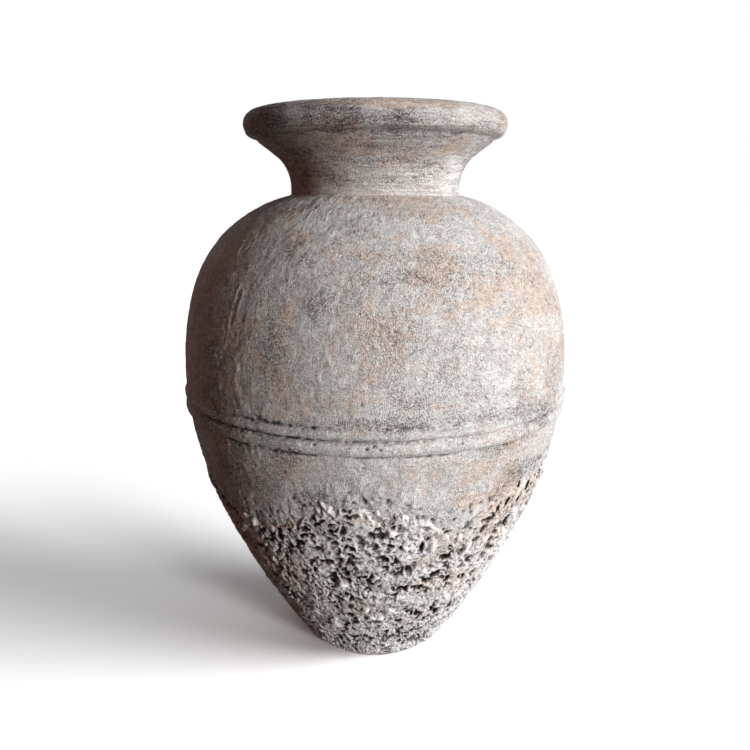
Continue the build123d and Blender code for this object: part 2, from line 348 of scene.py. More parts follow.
def scarRelief(points, angle, height):
    relief, dirtAndShade = np.zeros((2, len(height)))
    for angleA, heightA, angleB, heightB, proud in scarPlan:
        close = np.flatnonzero((height > min(heightA, heightB) - 6) & (height < max(heightA, heightB) + 6)
                               & (np.abs(turnsFrom(angle, (angleA + angleB) / 2)) < 12))
        if not len(close):
            continue
        radius = radiusAt((heightA + heightB) / 2)
        end = np.array([math.radians(angleB - angleA) * radius, heightB - heightA])
        wobble = noiseSum(points[close], (2.2, 9, 21), (1, 3.5, 22))
        spot = np.stack([np.radians(turnsFrom(angle[close], angleA)) * radius + wobble,
                         height[close] - heightA])
        share = np.clip(end @ spot / (end @ end), 0, 1)
        across = spot[0] - share * end[0]
        gap = np.hypot(across, spot[1] - share * end[1])
        relief[close] += 0.48 * proud * np.exp(-(gap / 0.9) ** 2)
        # painted shadow in a stripe 2 mm to the left of each scar
        dirtAndShade[close] = np.maximum(
            dirtAndShade[close], 0.35 * np.exp(-((across + 2.0) / 0.9) ** 2) * np.exp(-(gap / 2.6) ** 4))
    return relief, dirtAndShade


def crumbling(points):
    # how far the clay has crumbled, and where its edges are ragged
    crumbled = noiseSum(points, (1, 4.2, 15), (0.6, 2.1, 16))
    return crumbled, softStep(-0.45, 0.40, crumbled + 0.5 * clayNoise(points, 14, 18))


# relief of the wall, neck and rim in mm. Lumps: how high, size and seed
wallPlan = dict(
    lumps=[(0.8, 115, 1), (0.28, 42, 2)], grit=[(0.26, 6, 4), (0.22, 3.3, 5)],
    warp=5, scabs=0.28, blobs=0.6, pits=0.8, crumbs=1.2,
    truer=0.6, drawnLevel=2.2,      # how much truer the neck and rim are, and how level brushing drew them
    lipSmear=1.3, lipGroove=1.1,    # clay smeared down from the lip, and the groove under it
    nearCrust=[(0.9, 7, 34), (0.6, 3.6, 35)], strayPits=1.8,
)


def wallRelief(points, angle, height):
    # outside of the wall, neck and rim: mm outward, settled dirt with painted shade in pits, grooves, under
    # the lip and beside scars, and where the wash stands high
    plan = wallPlan
    streaky = softStep(shoulderHeight - 3, shoulderHeight + 6, height)
    squeezed = points.copy()
    squeezed[:, 2] += streaky * plan["drawnLevel"] * (height - shoulderHeight)
    even = 1 - plan["truer"] * streaky
    warped = squeezed + plan["warp"] * noiseShift(squeezed, 16, 24)
    scab = softStep(-0.12, 0.22, layeredNoise(warped, 18, 6, 4))
    lumps = noiseSum(points, *plan["lumps"]) + noiseSum(squeezed, *plan["grit"])
    blob = cellSpots(warped, 10, 12, (0.34, 0.08), (0.80, 0.84))
    pit = cellSpots(warped, 6, 13, (0.3, 0.08), (0.95, 0.965))
    scarred, dirtAndShade = scarRelief(points, angle, height)
    relief = even * (lumps + plan["scabs"] * scab + plan["blobs"] * blob) - plan["pits"] * pit + scarred
    # pits painted dark: shade in them, with some dirt
    dirtAndShade = np.maximum(dirtAndShade, 0.7 * pit)
    crumbled, ragged = crumbling(points)
    chip = cellSpots(points, 4.6, 19, (0.42, 0.16), (0.62, 0.70))
    for crevice in crevices.values():
        gap = (height - crevice["at"] - crevice["offset"] - 0.9 * clayNoise(points, 9, 17)) / crevice["width"]
        gap /= 1 + 0.7 * np.clip(crumbled, -0.7, 1)
        gaping = marksAround(angle, crevice["marks"])
        groove = np.exp(-gap**2) * gaping * (0.35 + 0.65 * ragged)
        hole = chip * softStep(0.25, 0.7, np.exp(-(gap / 3.2) ** 2) * gaping)       # crumbs gone beside it
        relief -= crevice["depth"] * groove + plan["crumbs"] * hole
        # grooves and crumbled gaps painted dark: shade in the crevice, with some dirt
        dirtAndShade = np.maximum(dirtAndShade, np.maximum(softStep(0.10, 0.62, groove), 0.9 * hole))
    lip = np.exp(-((height - rimSeat + 4.6) / 1.5) ** 2) * (0.6 + 0.4 * clayNoise(points, 30, 23))
    relief += plan["lipSmear"] * np.exp(-((height - rimSeat + 0.4) / 2.4) ** 2) - plan["lipGroove"] * lip
    # painted shade in the groove under the lip
    dirtAndShade = np.maximum(dirtAndShade, 0.5 * lip * ragged)
    below = crustDepth(points, angle, height)
    feather = softStep(-34, -2, below) * softStep(9, 0, below)
    stray = cellSpots(warped, 6, 33, (0.5, 0.15), (0.98 - 0.6 * feather, 1.0 - 0.5 * feather)) * feather
    relief += feather * noiseSum(points, *plan["nearCrust"]) - plan["strayPits"] * stray
    # stray pits painted dark: shade in them, with some dirt
    dirtAndShade = np.maximum(dirtAndShade, 0.9 * softStep(0.2, 0.7, stray))
    relief -= crustPlan["backing"] * softStep(6, 13, below)         # the wall is cut back under the crust
    return relief, np.clip(dirtAndShade, 0, 1), np.maximum(0.5 * scab, blob)


def insideRelief(points):
    rings = clayNoise(points * np.array([1, 1, 6]), 40, 53)     # smears of the potter's fingers
    return noiseSum(points, (0.7, 60, 51), (0.35, 16, 52)) + 0.35 * rings


# patches of colour: seed of their ragged edges, then angle, height, half width, half height in mm, strength
patchLists = dict(
    # where bare clay tints the wash; the broad patches on the left, from about -90 to -40 degrees, paint the
    # warm tint of its shaded side
    bareClayAndWarmShade=(61, [
        (17, 402, 46, 26, 0.7), (-2, 404, 30, 18, 0.3), (1, 338, 24, 16, 0.45), (8, 326, 20, 14, 0.3),
        (46, 420, 40, 20, 0.95), (30, 448, 50, 10, 0.7), (51, 380, 50, 36, 0.65), (54, 322, 44, 50, 0.35),
        (47, 249, 48, 22, 0.35), (38, 224, 24, 14, 0.9), (28, 210, 22, 12, 0.9), (16, 240, 22, 14, 0.8),
        (28, 236, 30, 14, 0.7), (-16, 246, 24, 12, 0.5), (2, 232, 18, 8, 0.4), (12, 372, 26, 16, 0.4),
        (-14, 418, 30, 14, 0.4), (-2, 358, 30, 14, 0.4), (-64, 390, 66, 64, 0.9), (-44, 330, 62, 76, 0.85),
        (-40, 236, 54, 32, 0.9), (-48, 424, 54, 26, 0.9), (-68, 306, 66, 66, 0.95), (-84, 236, 46, 34, 0.8),
        (92, 406, 60, 40, 0.6), (128, 336, 50, 60, 0.6), (165, 416, 60, 30, 0.7), (185, 306, 50, 40, 0.6),
        (-120, 396, 60, 36, 0.6), (-140, 306, 46, 60, 0.7), (-160, 242, 44, 20, 0.6), (110, 242, 40, 22, 0.6),
        (-70, 486, 60, 24, 0.8), (-60, 520, 40, 20, 0.8), (42, 500, 18, 8, 0.6), (20, 494, 16, 8, 0.4),
        (70, 526, 30, 10, 0.6), (-26, 348, 14, 16, 0.6), (-36, 430, 30, 20, 0.5), (-10, 344, 40, 20, 0.4),
        (-16, 300, 40, 16, 0.5), (20, 300, 30, 10, 0.4), (0, 380, 60, 30, 0.25), (0, 531, 90, 4, 0.9),
        (-20, 500, 60, 20, 0.6), (10, 456, 60, 8, 0.6)]),
    # where the wash lies thick and pale
    paleWash=(71, [
        (-6, 318, 46, 18, 0.3), (-30, 436, 60, 16, 0.8), (5, 436, 30, 10, 0.4), (-18, 352, 24, 18, 0.5),
        (30, 300, 50, 18, 0.3), (27, 206, 22, 14, 0.9), (-10, 238, 50, 20, 0.5), (150, 366, 60, 40, 0.6),
        (-100, 356, 60, 40, 0.6), (12, 476, 34, 10, 0.5), (70, 446, 60, 20, 0.5), (-175, 426, 60, 26, 0.5),
        (14, 424, 24, 10, 0.5), (48, 506, 24, 10, 0.5), (0, 463, 300, 3, 0.9), (-9, 528, 24, 4, 0.5),
        (46, 524, 30, 10, 0.6), (-20, 466, 30, 4, 0.8), (58, 482, 34, 26, 0.9), (8, 212, 28, 16, 0.9),
        (-42, 428, 44, 18, 0.6), (-4, 240, 40, 12, 0.5), (36, 432, 40, 16, 0.5)]),
    # where the wash has crazed and gone dark; the narrow bands along the cordons, at about 250 to 285 mm,
    # paint shade along their crevices
    crackleAndShade=(76, [
        (-6, 432, 17, 13, 0.5), (3, 394, 30, 7, 0.5), (-9, 384, 16, 10, 0.2), (-14, 372, 8, 12, 0.9),
        (-27, 334, 9, 18, 0.8), (-22, 410, 14, 12, 0.7), (-7, 524, 27, 6, 1.0), (10, 521, 14, 5, 0.7),
        (-27, 519, 14, 8, 0.8), (30, 511, 30, 3, 0.5), (-26, 473, 26, 4, 0.8), (8, 474, 20, 5, 0.25),
        (48, 274, 32, 10, 0.8), (19, 331, 16, 7, 0.35), (-42, 244, 20, 12, 0.6), (-19, 216, 20, 9, 0.8),
        (16, 410, 20, 10, 0.3), (-45, 300, 24, 30, 0.5), (50, 228, 20, 10, 0.6),
        (90, 350, 40, 24, 0.6), (140, 420, 30, 20, 0.7), (-100, 300, 34, 30, 0.6), (-150, 350, 30, 24, 0.7),
        (178, 330, 30, 30, 0.6), (120, 520, 40, 6, 0.8), (-120, 520, 40, 6, 0.8), (-42, 268, 60, 9, 0.9),
        (-28, 284, 40, 6, 0.8), (4, 284, 44, 5, 0.7), (40, 283, 50, 6, 0.7), (-25, 252, 44, 6, 0.7),
        (34, 254, 30, 5, 0.5), (-40, 520, 50, 14, 1.0), (-12, 520, 50, 12, 1.0), (8, 519, 24, 8, 0.8),
        (-48, 222, 40, 24, 0.7), (-14, 214, 30, 10, 0.5), (46, 224, 30, 14, 0.7), (-36, 478, 20, 5, 0.7),
        (14, 490, 20, 6, 0.25), (30, 486, 16, 8, 0.3), (-24, 236, 60, 18, 0.35), (-30, 222, 30, 20, 0.8),
        (-36, 298, 26, 14, 0.9), (-36, 250, 40, 14, 0.8)]),
)


def patchCover(points, angle, height, seed, patches):
    # soft-edged patches whose outlines are broken up by noise
    ragged = layeredNoise(points, 28, seed, 5)
    total = np.zeros_like(height)
    for *spot, strength in patches:
        total = np.maximum(total, strength * softStep(1.5, 0.0, spreadFrom(angle, height, *spot) + ragged))
    return total


def paintedPatches(*place):
    return {key: patchCover(*place, *patches) for key, patches in patchLists.items()}


# Meshes


def newObject(name, data):
    made = bpy.data.objects.new(name, data)
    bpy.context.scene.collection.objects.link(made)
    return made


def meshFrom(name, points, faces, values, uvs, creased=None, caps=()):
    # four-cornered faces, and round caps if given, with painted fields and a layout for baking
    loops = np.concatenate([faces.ravel(), *caps]).astype(np.int32)
    sizes = np.array([4] * len(faces) + [len(cap) for cap in caps], np.int32)
    spots = np.concatenate([uvs.ravel(), np.full(2 * (len(loops) - faces.size), 0.5)])
    mesh = bpy.data.meshes.new(name)
    mesh.vertices.add(len(points))
    mesh.vertices.foreach_set("co", (points * mm).astype(np.float32).ravel())
    mesh.loops.add(len(loops))
    mesh.loops.foreach_set("vertex_index", loops)
    mesh.polygons.add(len(sizes))
    mesh.polygons.foreach_set("loop_start", np.cumsum(sizes, dtype=np.int32) - sizes)
    mesh.update(calc_edges=True)
    mesh.shade_smooth()
    if creased is not None:
        ends = np.zeros(len(mesh.edges) * 2, np.int32)
        mesh.edges.foreach_get("vertices", ends)
        ends = ends.reshape(-1, 2)
        sharp = creased[ends[:, 0]] & creased[ends[:, 1]]
        mesh.attributes.new("sharp_edge", "BOOLEAN", "EDGE").data.foreach_set("value", sharp)
    for key, value in values.items():
        mesh.attributes.new(key, "FLOAT", "POINT").data.foreach_set("value", value.astype(np.float32).ravel())
    layer = mesh.uv_layers.new(name="OFBake")
    layer.uv.foreach_set("vector", spots.astype(np.float32))
    return newObject(name, mesh)


def turned(rows, count):
    # rows of radius and height, and of normals if given, turned about Z: angles, points, normals
    angle = np.linspace(-180, 180, count, endpoint=False)
    turn = np.radians(angle)
    around = np.stack([np.sin(turn), -np.cos(turn), np.zeros(count)], -1)
    upward = np.array([0, 0, 1.0])
    return angle, *(rows[:, k, None, None] * around + rows[:, k + 1, None, None] * upward
                    for k in range(0, rows.shape[1], 2))


def quadGrid(rowCount, columns, closedRows):
    # corner indices of the quads between rows that each run once round the jar
    rows = np.arange(rowCount if closedRows else rowCount - 1)
    row, column = np.meshgrid(rows, np.arange(columns), indexing="ij")
    up, on = (row + 1) % rowCount, (column + 1) % columns
    corners = np.stack([row * columns + column, row * columns + on,
                        up * columns + on, up * columns + column], -1)
    return row.ravel(), column.ravel(), corners.reshape(-1, 4)


def stripUvs(row, column, columns, along, strips, bottom, top):
    # a wall as stacked strips, each a share of the way round, so that the baked picture stays sharp
    strip = column * strips // columns
    share = columns / strips
    height = (top - bottom) / strips
    margin = 0.004
    u = np.stack([column - strip * share, column + 1 - strip * share], -1) / share
    u = margin + (1 - 2 * margin) * np.clip(u, 0, 1)
    v = np.stack([along[row], along[row + 1]], -1)
    v = bottom + strip[:, None] * height + margin + (height - 2 * margin) * v
    return np.stack([u[:, [0, 1, 1, 0]], v[:, [0, 0, 1, 1]]], -1)


def shareAlong(rows):
    length = np.concatenate([[0], np.cumsum(np.hypot(*np.diff(rows[:, :2], axis=0).T))])
    return length / max(length[-1], 1e-9)


ringPlan = dict(
    columns=900, quickColumns=360,
    # steps between rows, in mm
    outStep=1.5, coarseStep=2.6, inStep=6, neckStep=1.2, rimStep=1, rimInStep=1.6,
    washFades=(14, 64),     # mm below the rim's top where the wash inside thins out, from and to
    wallTop=0.86,           # the outside takes this much of the baked picture
)
columns = ringPlan["columns"]


def turnRing(name, outRows, inRows, topJoint, bottomJoint, strips=3):
    # one ring of clay: outside, joint at the top, inside, joint at the bottom, turned about Z
    joints = [np.array([[r, z, 0, 0] for r, z in joint]).reshape(-1, 4) for joint in (topJoint, bottomJoint)]
    rows = np.concatenate([outRows, joints[0], inRows, joints[1]])
    ends = np.cumsum([len(outRows), len(joints[0]), len(inRows), len(joints[1])])
    angle, points, normals = turned(rows, columns)
    outside, inside, wallTop = slice(0, ends[0]), slice(ends[1], ends[2]), ringPlan["wallTop"]
    flat = points[outside].reshape(-1, 3)
    place = flat, np.tile(angle, len(outRows)), flat[:, 2]
    found = dict(zip(("relief", "dirtAndShade", "scab"), wallRelief(*place)))
    found.update(paintedPatches(*place))
    values = {key: np.zeros((len(rows), columns)) for key in (*found, "inside")}
    for key, value in found.items():
        values[key][outside] = value.reshape(-1, columns)
    flat = points[inside].reshape(-1, 3)
    values["relief"][inside] = insideRelief(flat).reshape(-1, columns)
    values["inside"][ends[0]:] = 1
    depth = rimTop - flat[:, 2] + 14 * clayNoise(flat, 16, 54)      # the wash runs over the lip and thins out
    values["inside"][inside] = softStep(*ringPlan["washFades"], depth).reshape(-1, columns)
    points = points + values.pop("relief")[..., None] * normals
    row, column, corners = quadGrid(len(rows), columns, True)
    uvs = stripUvs(row, column, columns, shareAlong(np.concatenate([rows, rows[:1]])), 1, wallTop, 1.0)
    outer = row < ends[0] - 1
    wallShare = np.concatenate([shareAlong(outRows), np.ones(len(rows) - ends[0] + 1)])
    uvs[outer] = stripUvs(row[outer], column[outer], columns, wallShare, strips, 0.0, wallTop)
    cornerRows = np.zeros(len(rows), bool)
    cornerRows[ends[0] - 1:ends[1] + 1] = len(topJoint) > 0
    cornerRows[ends[2] - 1:] = len(bottomJoint) > 0
    cornerRows[0] = len(bottomJoint) > 0
    return meshFrom(name, points.reshape(-1, 3), corners, values, uvs, np.repeat(cornerRows, columns))


# what stands on each joint
pieceOn = dict(base="lower_wall_course", lower="belly_wall_course", belly="upper_wall_course",
               upper="shoulder_wall_course", neck="neck_collar", rim="rim_roll")


def seamAt(joint):
    # one lap joint, read from its bed of slip: shelf, tongue, bed, and the steps cut below and above the bed
    spots = np.array([v.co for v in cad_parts[f"{joint}_joint_slip"].data.vertices]) / mm
    shelf = spots[:, 2].min()
    riser = np.hypot(*spots[spots[:, 2] < shelf + 0.01][:, :2].T).min()
    bed = lowEnd(pieceOn[joint]) - shelf
    tongue = spots[:, 2].max() - bed
    return dict(shelf=shelf, tongue=tongue, bed=bed, riser=riser, below=[(riser, shelf), (riser, tongue)],
                above=[(riser + bed, tongue + bed), (riser + bed, shelf + bed)])


seams = {joint: seamAt(joint) for joint in pieceOn}
print("joints read:", ", ".join(f"{k} {v['shelf']:.1f}" for k, v in seams.items()))


def ringBetween(name, lower, upper, outStep):
    outRows = skinRows(outSkin, lower["shelf"] + lower["bed"], upper["shelf"], outStep)
    inRows = skinRows(inSkin, upper["tongue"], lower["tongue"] + lower["bed"], ringPlan["inStep"])
    return turnRing(name, outRows, inRows, upper["below"], lower["above"])


def slipBed(name, seam):
    outRows = skinRows(outSkin, seam["shelf"], seam["shelf"] + seam["bed"], seam["bed"])[[0, -1]]
    inRows = skinRows(inSkin, seam["tongue"] + seam["bed"], seam["tongue"], seam["bed"])[[0, -1]]
    return turnRing(name, outRows, inRows, seam["above"][::-1], seam["below"][::-1], 1)


wallPieces = {}
for part, lower, upper, step in (
        ("lower", "base", "lower", "coarseStep"), ("belly", "lower", "belly", "outStep"),
        ("upper", "belly", "upper", "outStep"), ("shoulder", "upper", "neck", "outStep")):
    ring = ringBetween(f"{part}WallClay", seams[lower], seams[upper], ringPlan[step])
    wallPieces[f"{part}_wall_course"] = ring
rimPieces = dict(neck_collar=ringBetween("neckCollarClay", seams["neck"], seams["rim"], ringPlan["neckStep"]))
rimRows = skinRows(outSkin, seams["rim"]["shelf"] + seams["rim"]["bed"], rimTop, ringPlan["rimStep"])
rimInRows = skinRows(inSkin, rimTop, seams["rim"]["tongue"] + seams["rim"]["bed"], ringPlan["rimInStep"])
rimPieces["rim_roll"] = turnRing("rimRollClay", rimRows, rimInRows[1:], [], seams["rim"]["above"])
slipPieces = {f"{joint}_joint_slip": slipBed(f"{joint}JointSlip", seam) for joint, seam in seams.items()}
print("rings turned:", len(wallPieces) + len(rimPieces), "and", len(slipPieces), "beds of slip")


def baseSlab():
    # round slab with a raised middle, in rings from the middle of its underside to that of its floor
    seam, edge, radius = seams["base"], jar["baseEdge"], jar["baseRadius"]
    corner = np.array([radius, 0.0])
    outRows = skinRows(outSkin, edge * 0.6, seam["shelf"], ringPlan["outStep"])
    t = np.linspace(0, 1, 7)[:-1, None]
    bend = (1 - t) ** 2 * (corner - [edge, 0]) + 2 * t * (1 - t) * corner + t**2 * outRows[0, :2]
    under = [(r, 0.0) for r in np.linspace(2, radius - edge - 1, 12)]
    floor = [(r, seam["tongue"]) for r in np.linspace(seam["riser"] - 3, 2, 12)]
    rows = np.concatenate([under, bend, outRows[:, :2], seam["below"], floor])
    flat = turned(rows, columns)[1].reshape(-1, 3)
    outside = ((flat[:, 2] > 0.5) & (flat[:, 2] < seam["shelf"] + 0.01)
               & (np.hypot(flat[:, 0], flat[:, 1]) > 60))
    flat[outside, :2] *= 1 + (0.5 * clayNoise(flat[outside], 18, 81) / 75)[:, None]
    row, column, corners = quadGrid(len(rows), columns, False)
    uvs = stripUvs(row, column, columns, shareAlong(rows), 1, 0.0, 1.0)
    caps = [np.arange(columns)[::-1], (len(rows) - 1) * columns + np.arange(columns)]
    cornerRows = np.zeros(len(rows), bool)
    shelfRow = len(under) + len(bend) + len(outRows) - 1
    cornerRows[shelfRow:shelfRow + 3] = True
    whole = np.ones(len(flat))
    values = dict(dirtAndShade=0.3 * outside, scab=0.4 * whole, bareClayAndWarmShade=0.7 * whole, paleWash=0 * whole,
                  crackleAndShade=0.4 * outside, inside=1.0 * ~outside)
    return meshFrom("baseSlabClay", flat, corners, values, uvs, np.repeat(cornerRows, columns), caps)


wallPieces["base_slab"] = baseSlab()


def cordonRoll(part):
    # a roll of clay pressed on the wall, a little uneven, with its back sunk in the wall
    node = f"{part}_cordon"
    radius, sink, seed = cordonPlan[part].values()
    height = (lowEnd(node) + highEnd(node)) / 2
    reach = math.acos(max(-1.0, (sink - cordonPlan["backSunk"]) / radius))
    turns = np.linspace(-reach, reach, int(2 * reach * radius / cordonPlan["rowStep"]))
    angle, ring = turned(np.array([[radiusAt(height) - sink, height]]), columns)
    normals = turned(np.column_stack([np.cos(turns), np.sin(turns)]), columns)[1]
    swell = radius + noiseSum(ring[0], (cordonPlan["swell"], 34, seed + 1), (0.25, 12, seed + 2))
    flat = ring + swell[:, None] * normals
    flat[..., 2] += cordonPlan["wander"] * clayNoise(ring[0], 70, seed)
    flat = flat.reshape(-1, 3)
    angles = np.tile(angle, len(turns))
    pit = np.zeros(len(flat))
    for middle, atHeight, halfWidth in cordonPlan["holes"]:
        across = np.radians(turnsFrom(angles, middle)) * bellyRadius
        pit = np.maximum(pit, softStep(1.2, 0.4, np.hypot(across, flat[:, 2] - atHeight) / halfWidth))
    outward = np.abs(turns)[:, None] / reach        # 0 along the crown of the roll, 1 at its edges
    gaping = np.maximum(*(marksAround(angle, crevices[key]["marks"]) for key in ("between", "under")))
    loose = (softStep(0.1, 0.7, outward) * softStep(0.5, 1.0, gaping)).ravel()
    pit = np.maximum(pit, cellSpots(flat, 4.4, 19, (0.48, 0.2), (0.45, 0.55)) * loose)
    relief = noiseSum(flat, (0.22, 6, seed + 3), (0.16, 3.2, seed + 4)) - cordonPlan["holeDepth"] * pit
    flat = flat + relief[:, None] * normals.reshape(-1, 3)
    ragged = crumbling(flat)[1].reshape(len(turns), -1)
    # painted shade, with some dirt, along the roll's edges at open crevices and in its holes
    dirtAndShade = np.clip(softStep(0.45, 0.92, outward) * gaping * (0.2 + 0.8 * ragged), 0, 1)
    row, column, corners = quadGrid(len(turns), columns, True)
    uvs = stripUvs(row, column, columns, np.linspace(0, 1, len(turns) + 1), 3, 0.0, 1.0)
    values = dict(dirtAndShade=np.maximum(dirtAndShade.ravel(), 0.9 * pit), inside=np.zeros(len(flat)),
                  scab=np.full(len(flat), 0.6), **paintedPatches(flat, angles, flat[:, 2]))
    return meshFrom(f"{part}CordonRoll", flat, corners, values, uvs)


cordonPieces = {f"{part}_cordon": cordonRoll(part) for part in ("lower", "upper")}
print("base slab and cordons laid")


def bumpsAt(angle, height, spots):
    # soft round bumps from 0 to 1
    total = np.zeros_like(height)
    for spot in spots:
        total = np.maximum(total, softStep(1.15, 0.3, spreadFrom(angle, height, *spot)))
    return total


def crustRelief(points, angle, height):
    # a sponge of pits with thin ridges: mm from the wall's skin, then pits, ridges and nodules
    plan = crustPlan
    below = crustDepth(points, angle, height)
    thin = patchCover(points, angle, height, 146, plan["thin"])
    narrow, wide = plan["feather"]
    feather = narrow + (wide - narrow) * thin
    cover = softStep(-feather, feather, below)
    high, low, gain = plan["finerBelow"]
    steps = np.arange(0.0, 260.0)
    risen = np.cumsum(1.12 * (1 + gain * softStep(high, low, steps)))   # keeps pits as finely spaced upward
    drawn = points * (1 + gain * softStep(high, low, height))[:, None]
    drawn[:, 2] = np.interp(height, steps, risen)
    for far, size, seed in plan["warps"]:
        drawn += far * noiseShift(points, size, seed)
    rough = 0.3 + 0.8 * softStep(-0.4, 0.35, clayNoise(points, 20, 143))    # parts of the crust are rougher
    cavity = softStep(0.0, 0.42, clayNoise(drawn, 22, 145) + 0.4 * clayNoise(drawn, 9, 144)) * (1 - thin)
    pit, ridge, level, sunk = np.zeros((4, len(height)))
    for size, seed, depth, width, shallow in plan["sponge"].values():
        near, second, mark = clayCells(drawn, size, seed)
        spare = shallow + 0.45 * thin
        hole = softStep(width, width - 0.28, near) * softStep(spare, spare + 0.3, mark) * rough
        edge = np.exp(-((second - near) / 0.18) ** 2)
        level += 0.09 * depth * edge * (1 - 0.6 * thin) - depth * hole * (1 - 0.6 * pit)
        pit = np.maximum(pit, hole * depth / 3.4)
        ridge = np.maximum(ridge, edge * (1 - hole))
    nodule = cellSpots(drawn, plan["noduleSize"], 151, (0.36, 0.14), (0.55, 0.65)) * (1 - 0.7 * cavity)
    knob = bumpsAt(angle, height, plan["knobs"])
    nodule = np.maximum(nodule, knob)
    hollow = bumpsAt(angle, height, plan["hollows"])
    level += 0.5 * clayNoise(drawn, 5, 163) + 0.35 * clayNoise(points, 2.2, 164) - 0.7 * cavity
    level = np.minimum(level * (1 - nodule) + 1.6 * nodule + 1.2 * knob, 3.0 - 6.0 * hollow)
    # the pit mask, with broad cavities and hollows, darkens the colour: painted shade, with some dirt
    pit = np.maximum((pit + 0.16 * cavity) * (1 - nodule), hollow)
    pits, number = plan["mainPits"], 0
    middle, atHeight = pits["start"], pits["first"]
    while atHeight < pits["last"]:
        band = np.flatnonzero(np.abs(height - atHeight) < 8)
        gap = spreadFrom(angle[band], height[band], middle, atHeight, 1, 1)
        depth = pits["depth"] + pits["swing"] * math.sin(number)
        sunk[band] = np.maximum(sunk[band], depth * softStep(7.5, 1.0, gap))
        slope = (radiusAt(atHeight + 1) - radiusAt(atHeight - 1)) / 2
        atHeight += pits["spacing"] ** 2 / math.hypot(1, slope) / (2 * math.pi * (radiusAt(atHeight) + 3))
        middle, number = middle + pits["turn"], number + 1
    relief = plan["skin"] * (1 - 0.6 * thin) + 0.45 * clayNoise(points, 24, 161)
    relief = relief + level - 0.4 * sunk * (1 - nodule)
    worn = np.maximum(relief * cover - plan["bury"] * (1 - cover), -plan["bury"])
    foot = softStep(plan["foot"], plan["foot"] + 6, height)
    worn = worn * foot + np.minimum(worn, 0.6) * (1 - foot)
    return worn, np.clip(pit * (1 + 0.5 * thin), 0, 1), ridge * (1 - 0.8 * thin), nodule * (1 - 0.5 * thin)


def crustCoat():
    # the rough face, cut off where it sinks into the wall
    around, step = crustPlan["grid"]
    topHeight = max(h for _, h in crustPlan["border"]) + 22
    rows = skinRows(outSkin, crustPlan["foot"], topHeight, step)
    angle, base, normals = turned(rows, around)
    base, normals = base.reshape(-1, 3), normals.reshape(-1, 3)
    angles, heights = np.tile(angle, len(rows)), base[:, 2]
    worn, pit, ridge, nodule = crustRelief(base, angles, heights)
    face = base + worn[:, None] * normals
    back = base - (crustPlan["bury"] + 1.0) * normals
    row, column, corners = quadGrid(len(rows), around, False)
    kept = (worn[corners] > -0.8 * crustPlan["bury"]).any(axis=1)
    front = corners[kept]
    # the same patches again as a back face, and a wall round every open edge
    sides = [front[:, ::-1] + len(base)]
    cell, quads = kept.reshape(-1, around), corners.reshape(-1, around, 4)
    padded = np.pad(cell, ((1, 1), (0, 0)))
    for beside, a, b in ((padded[:-2], 0, 1), (padded[2:], 2, 3), (np.roll(cell, 1, axis=1), 3, 0),
                         (np.roll(cell, -1, axis=1), 1, 2)):
        first, last = quads[cell & ~beside][:, [a, b]].T
        sides.append(np.stack([last, first, first + len(base), last + len(base)], -1))
    uvFront = stripUvs(row[kept], column[kept], around, shareAlong(rows), 4, 0.0, 0.97)
    uvSides = np.full((sum(map(len, sides)), 4, 2), 0.985)
    used, faces = np.unique(np.concatenate([front, *sides]), return_inverse=True)
    tint = patchCover(base, angles, heights, 171, crustPlan["tints"])
    values = {key: np.tile(value, 2)[used]
              for key, value in dict(pit=pit, ridge=ridge, nodule=nodule, bareClayAndWarmShade=tint).items()}
    return meshFrom("crustCoatClay", np.concatenate([face, back])[used], faces.reshape(-1, 4), values,
                    np.concatenate([uvFront, uvSides]))


crustPiece = crustCoat()
print("crust laid:", len(crustPiece.data.polygons), "faces")

# Materials


def addNode(tree, kind, inputs=None, **settings):
    # one node with its settings, and a value or a link for each named input
    node = tree.nodes.new(kind)
    for key, value in settings.items():
        setattr(node, key, value)
    for socket, value in (inputs or {}).items():
        if isinstance(value, bpy.types.NodeSocket):
            tree.links.new(value, node.inputs[socket])
        else:
            node.inputs[socket].default_value = value
    return node


def newShading(store, name):
    made = store.new(name)
    made.use_nodes = True
    made.node_tree.nodes.clear()
    return made, made.node_tree


